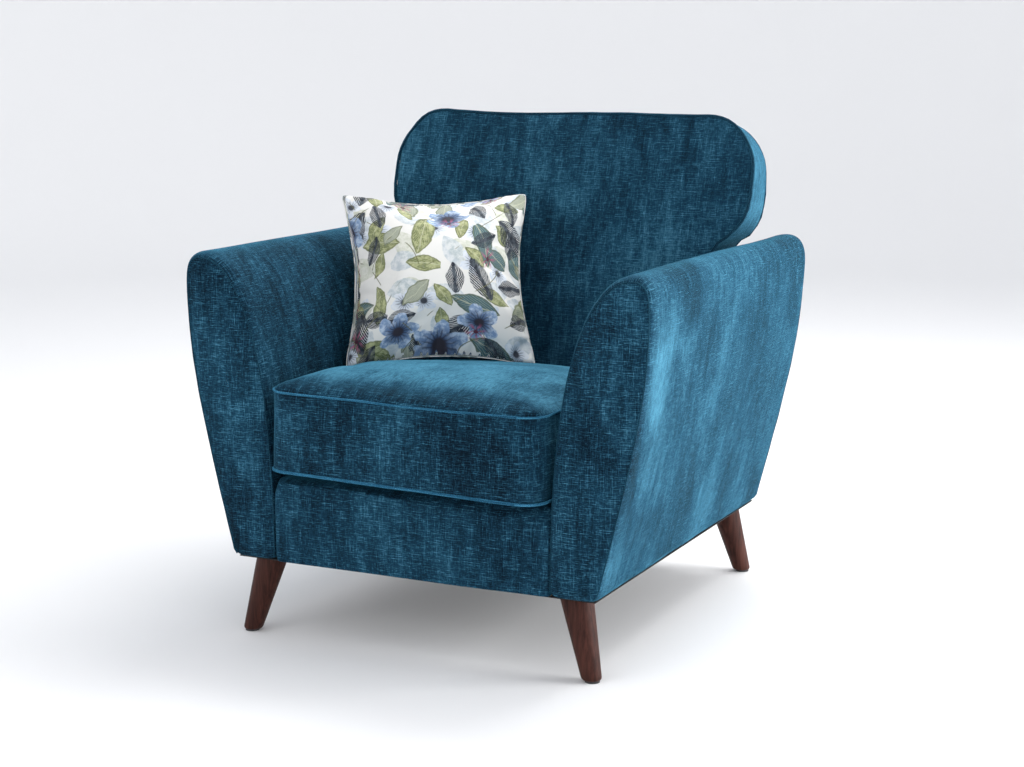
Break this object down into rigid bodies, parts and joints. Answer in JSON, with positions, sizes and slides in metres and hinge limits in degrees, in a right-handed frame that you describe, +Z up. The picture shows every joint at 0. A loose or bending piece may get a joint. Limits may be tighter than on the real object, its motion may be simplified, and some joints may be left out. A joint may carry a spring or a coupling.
{
  "type": "upholstered armchair",
  "caption": "Upholstered armchair with flared arms, a fixed T-shaped back, a loose piped seat cushion, a loose printed scatter cushion and splayed tapered wooden legs.",
  "frame": {"origin": "on the floor, under the middle of the chair's bounding box", "axes": "+Z up, the chair faces -Y, +X towards the right arm as seen from the front"},
  "size_m": [0.9, 0.855, 0.9248],
  "materials": {
    "upholstery": "slubby chenille, napped",
    "piping": "self piping",
    "print": "printed velvet, botanical",
    "lining": "non-woven lining",
    "fibre": "polyester fibre",
    "foam": "upholstery foam",
    "timber": "sawn softwood and ply",
    "walnut": "satin stained hardwood",
    "steel": "zinc plated",
    "webbing": "jute",
    "glide": "moulded nylon"
  },
  "bodies": {
    "root": {"arm_cover_left": "upholstery", "arm_padding_left": "fibre", "arm_panel_front_left": "timber", "arm_panel_rear_left": "timber", "arm_rail_bottom_left": "timber", "arm_rail_top_left": "timber", "back_post_left": "timber", "back_wing_left": "timber", "corner_block_front_left": "timber", "corner_block_rear_left": "timber", "leg_front_left": "walnut", "leg_bolt_front_left": "steel", "leg_glide_front_left": "glide", "leg_rear_left": "walnut", "leg_bolt_rear_left": "steel", "leg_glide_rear_left": "glide", "arm_cover_right": "upholstery", "arm_padding_right": "fibre", "arm_panel_front_right": "timber", "arm_panel_rear_right": "timber", "arm_rail_bottom_right": "timber", "arm_rail_top_right": "timber", "back_post_right": "timber", "back_wing_right": "timber", "corner_block_front_right": "timber", "corner_block_rear_right": "timber", "leg_front_right": "walnut", "leg_bolt_front_right": "steel", "leg_glide_front_right": "glide", "leg_rear_right": "walnut", "leg_bolt_rear_right": "steel", "leg_glide_rear_right": "glide", "back_cover": "upholstery", "back_foam": "foam", "outside_back": "upholstery", "back_rail_top": "timber", "back_rail_middle": "timber", "back_webbing": "webbing", "back_piping_front": "piping", "back_piping_rear": "piping", "front_cover": "upholstery", "front_padding": "fibre", "front_rail": "timber", "rear_rail": "timber", "seat_deck": "lining", "spring_pad": "webbing", "base_cloth": "lining", "seat_spring_1": "steel", "seat_spring_2": "steel", "seat_spring_3": "steel", "seat_spring_4": "steel"},
    "seat_cushion": {"seat_cushion_cover": "upholstery", "seat_cushion_foam": "foam", "seat_cushion_zip": "glide", "seat_piping_top": "piping", "seat_piping_bottom": "piping"},
    "scatter_cushion": {"scatter_cover": "print", "scatter_filling": "fibre", "scatter_zip": "glide"}
  },
  "joints": [
    {"name": "seat_cushion_lift", "type": "slide", "parent": "root", "child": "seat_cushion", "axis": [0, 0, 1], "range_m": [0, 0.45]},
    {"name": "scatter_cushion_lift", "type": "slide", "parent": "seat_cushion", "child": "scatter_cushion", "axis": [0, 0, 1], "range_m": [0, 0.35]}
  ]
}
